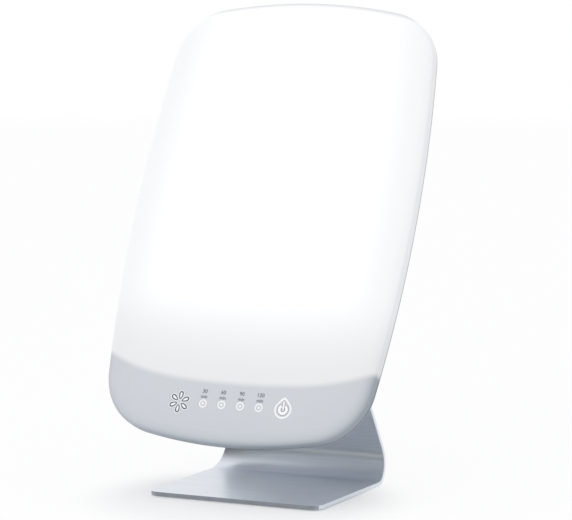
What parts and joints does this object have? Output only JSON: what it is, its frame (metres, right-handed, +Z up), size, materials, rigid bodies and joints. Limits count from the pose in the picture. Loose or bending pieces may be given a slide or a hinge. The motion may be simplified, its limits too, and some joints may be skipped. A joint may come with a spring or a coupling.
{
  "type": "light therapy lamp",
  "caption": "Tabletop daylight lamp: a rounded glowing panel with a touch key strip, held by a tilt hinge on a bent aluminium stand.",
  "frame": {"origin": "middle of the anti-slip mat's underside, on the table", "axes": "+X to the right of someone facing the glowing panel, +Y away from them towards the upright, +Z up"},
  "size_m": [0.332, 0.2483, 0.5263],
  "materials": {
    "opal_cover": "satin opal",
    "diffuser_film": "matt translucent",
    "white_plastic": "fine spark texture",
    "coated_sheet": "white coil coating",
    "white_board": "white solder mask",
    "green_board": "solder mask",
    "clear_acrylic": "polished",
    "grey_foam": "conductive foam",
    "black_plastic": "satin",
    "copper_wire": "enamelled winding",
    "zinc_steel": "zinc plated",
    "satin_aluminium": "satin anodised",
    "black_rubber": "matt"
  },
  "bodies": {
    "stand": {"stand_plate": "satin_aluminium", "anti_slip_mat": "black_rubber", "hinge_block": "satin_aluminium", "block_screw_1": "zinc_steel", "block_screw_2": "zinc_steel", "block_screw_3": "zinc_steel", "block_screw_4": "zinc_steel"},
    "head": {"diffuser_cover": "opal_cover", "diffuser_sheet": "diffuser_film", "light_baffle": "white_plastic", "reflector_tray": "coated_sheet", "led_strip_1": "white_board", "led_strip_2": "white_board", "led_strip_3": "white_board", "led_strip_4": "white_board", "led_strip_5": "white_board", "led_strip_6": "white_board", "control_board": "green_board", "touch_pad_timer": "grey_foam", "touch_pad_power": "grey_foam", "light_pipe_1": "clear_acrylic", "light_pipe_2": "clear_acrylic", "light_pipe_3": "clear_acrylic", "light_pipe_4": "clear_acrylic", "driver_board": "green_board", "driver_capacitor": "black_plastic", "driver_inductor": "copper_wire", "strip_connector": "white_plastic", "inlet_connector": "white_plastic", "strip_lead": "black_rubber", "inlet_lead": "black_rubber", "control_lead": "black_rubber", "strip_bus": "black_rubber", "rear_housing": "white_plastic", "power_inlet": "black_plastic", "inlet_nut": "zinc_steel", "case_screw_1": "zinc_steel", "case_screw_2": "zinc_steel", "case_screw_3": "zinc_steel", "case_screw_4": "zinc_steel", "case_screw_5": "zinc_steel", "case_screw_6": "zinc_steel", "tray_screw_1": "zinc_steel", "tray_screw_2": "zinc_steel", "tray_screw_3": "zinc_steel", "tray_screw_4": "zinc_steel", "hinge_plate": "zinc_steel", "hinge_bracket": "zinc_steel", "bracket_screw_1": "zinc_steel", "bracket_screw_2": "zinc_steel", "bracket_screw_3": "zinc_steel", "bracket_screw_4": "zinc_steel", "hinge_pin": "zinc_steel", "hinge_nut": "zinc_steel", "spring_washer": "zinc_steel", "friction_washer_left": "black_plastic", "friction_washer_right": "black_plastic"}
  },
  "joints": [
    {"name": "head_tilt", "type": "hinge", "parent": "stand", "child": "head", "pos_m": [0, 0.03222, 0.2165], "axis": [1, 0, 0], "range_deg": [-15, 20]}
  ]
}
